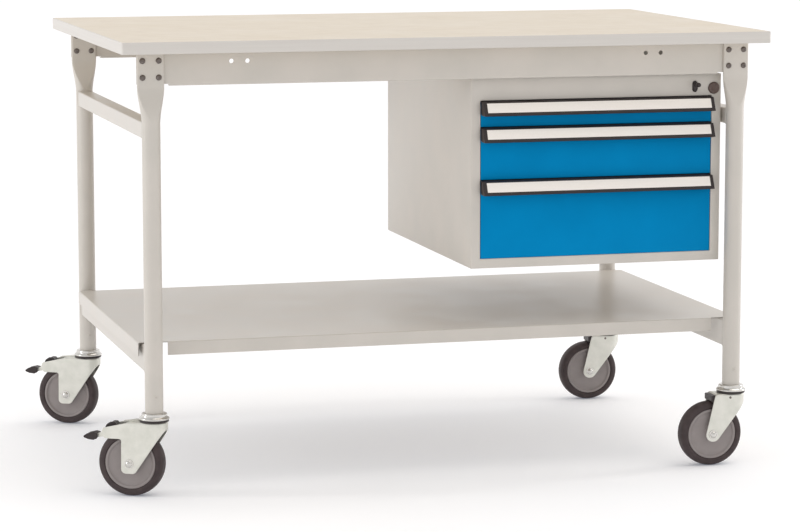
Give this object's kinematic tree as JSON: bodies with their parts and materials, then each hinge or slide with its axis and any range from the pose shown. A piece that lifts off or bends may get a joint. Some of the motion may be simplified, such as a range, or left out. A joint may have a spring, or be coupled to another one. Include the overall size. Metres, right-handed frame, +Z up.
{
  "type": "mobile workbench with drawers",
  "caption": "Workbench on swivel casters: laminated top on four tube legs, tray shelf below and a hanging steel cabinet with sliding drawers, pull handles and a lock.",
  "frame": {"origin": "on the floor under the middle of the whole object's box", "axes": "+X to the right along the front, +Y towards the back, +Z up; drawers open towards -Y"},
  "size_m": [1.3164, 0.8394, 0.84],
  "materials": {
    "laminate": "matte laminate",
    "edging": "satin",
    "frame_paint": "fine powder coat",
    "front_paint": "fine powder coat",
    "galvanised": "galvanised sheet",
    "zinc": "zinc plated",
    "chrome": "bright plated",
    "black_plastic": "satin",
    "brown_plastic": "satin",
    "label_strip": "satin film",
    "tyre_rubber": "matte",
    "grey_plastic": "satin"
  },
  "bodies": {
    "bench": {"worktop": "laminate", "worktop_edging": "edging", "front_apron": "frame_paint", "back_apron": "frame_paint", "lower_shelf": "frame_paint", "cabinet_shell": "frame_paint", "hanger_left": "galvanised", "hanger_right": "galvanised", "lock_cylinder": "black_plastic", "round_plug": "brown_plastic", "front_left_leg": "frame_paint", "back_left_leg": "frame_paint", "upper_bar_left": "frame_paint", "lower_bar_left": "frame_paint", "front_right_leg": "frame_paint", "back_right_leg": "frame_paint", "upper_bar_right": "frame_paint", "lower_bar_right": "frame_paint", "runner_1_left": "galvanised", "runner_1_right": "galvanised", "runner_2_left": "galvanised", "runner_2_right": "galvanised", "runner_3_left": "galvanised", "runner_3_right": "galvanised", "front_left_caster_head": "chrome", "back_left_caster_head": "chrome", "front_right_caster_head": "chrome", "back_right_caster_head": "chrome"},
    "drawer_1": {"drawer_box_1": "galvanised", "drawer_front_1": "front_paint", "drawer_handle_1": "black_plastic", "label_strip_1": "label_strip"},
    "drawer_2": {"drawer_box_2": "galvanised", "drawer_front_2": "front_paint", "drawer_handle_2": "black_plastic", "label_strip_2": "label_strip"},
    "drawer_3": {"drawer_box_3": "galvanised", "drawer_front_3": "front_paint", "drawer_handle_3": "black_plastic", "label_strip_3": "label_strip"},
    "front_left_swivel": {"front_left_fork": "zinc", "front_left_axle": "chrome"},
    "front_left_wheel": {"front_left_tyre": "tyre_rubber", "front_left_wheel_core": "grey_plastic"},
    "front_left_pedal": {"front_left_brake_lever": "black_plastic"},
    "back_left_swivel": {"back_left_fork": "zinc", "back_left_axle": "chrome"},
    "back_left_wheel": {"back_left_tyre": "tyre_rubber", "back_left_wheel_core": "grey_plastic"},
    "back_left_pedal": {"back_left_brake_lever": "black_plastic"},
    "front_right_swivel": {"front_right_fork": "zinc", "front_right_axle": "chrome"},
    "front_right_wheel": {"front_right_tyre": "tyre_rubber", "front_right_wheel_core": "grey_plastic"},
    "back_right_swivel": {"back_right_fork": "zinc", "back_right_axle": "chrome"},
    "back_right_wheel": {"back_right_tyre": "tyre_rubber", "back_right_wheel_core": "grey_plastic"},
    "lock_slider": {"lock_bar": "galvanised"},
    "lock_key": {"key": "black_plastic"}
  },
  "joints": [
    {"name": "drawer_1_slide", "type": "slide", "parent": "bench", "child": "drawer_1", "axis": [0, -1, 0], "range_m": [0, 0.45]},
    {"name": "drawer_2_slide", "type": "slide", "parent": "bench", "child": "drawer_2", "axis": [0, -1, 0], "range_m": [0, 0.45]},
    {"name": "drawer_3_slide", "type": "slide", "parent": "bench", "child": "drawer_3", "axis": [0, -1, 0], "range_m": [0, 0.45]},
    {"name": "front_left_swivel_turn", "type": "hinge", "parent": "bench", "child": "front_left_swivel", "pos_m": [-0.53379, -0.38469, 0.12], "axis": [0, 0, 1], "continuous": true},
    {"name": "front_left_wheel_spin", "type": "hinge", "parent": "front_left_swivel", "child": "front_left_wheel", "pos_m": [-0.57176, -0.36451, 0.0625], "axis": [0.4695, 0.8829, 0], "continuous": true},
    {"name": "front_left_brake_press", "type": "hinge", "parent": "front_left_swivel", "child": "front_left_pedal", "pos_m": [-0.60266, -0.34808, 0.128], "axis": [-0.4695, -0.8829, 0], "range_deg": [0, 10]},
    {"name": "back_left_swivel_turn", "type": "hinge", "parent": "bench", "child": "back_left_swivel", "pos_m": [-0.53379, 0.34531, 0.12], "axis": [0, 0, 1], "continuous": true},
    {"name": "back_left_wheel_spin", "type": "hinge", "parent": "back_left_swivel", "child": "back_left_wheel", "pos_m": [-0.57176, 0.36549, 0.0625], "axis": [0.4695, 0.8829, 0], "continuous": true},
    {"name": "back_left_brake_press", "type": "hinge", "parent": "back_left_swivel", "child": "back_left_pedal", "pos_m": [-0.60266, 0.38193, 0.128], "axis": [-0.4695, -0.8829, 0], "range_deg": [0, 10]},
    {"name": "front_right_swivel_turn", "type": "hinge", "parent": "bench", "child": "front_right_swivel", "pos_m": [0.60021, -0.38469, 0.12], "axis": [0, 0, 1], "continuous": true},
    {"name": "front_right_wheel_spin", "type": "hinge", "parent": "front_right_swivel", "child": "front_right_wheel", "pos_m": [0.55721, -0.38469, 0.0625], "axis": [0, 1, 0], "continuous": true},
    {"name": "back_right_swivel_turn", "type": "hinge", "parent": "bench", "child": "back_right_swivel", "pos_m": [0.60021, 0.34531, 0.12], "axis": [0, 0, 1], "continuous": true},
    {"name": "back_right_wheel_spin", "type": "hinge", "parent": "back_right_swivel", "child": "back_right_wheel", "pos_m": [0.55727, 0.34756, 0.0625], "axis": [0.0523, 0.9986, 0], "continuous": true},
    {"name": "lock_bar_lift", "type": "slide", "parent": "bench", "child": "lock_slider", "axis": [0, 0, 1], "range_m": [0, 0.008]},
    {"name": "key_turn", "type": "hinge", "parent": "bench", "child": "lock_key", "pos_m": [0.52721, -0.36169, 0.7375], "axis": [0, -1, 0], "range_deg": [-90, 0]}
  ],
  "couplings": [
    {"joint": "key_turn", "follows": "lock_bar_lift", "rad_per_m": -196}
  ]
}
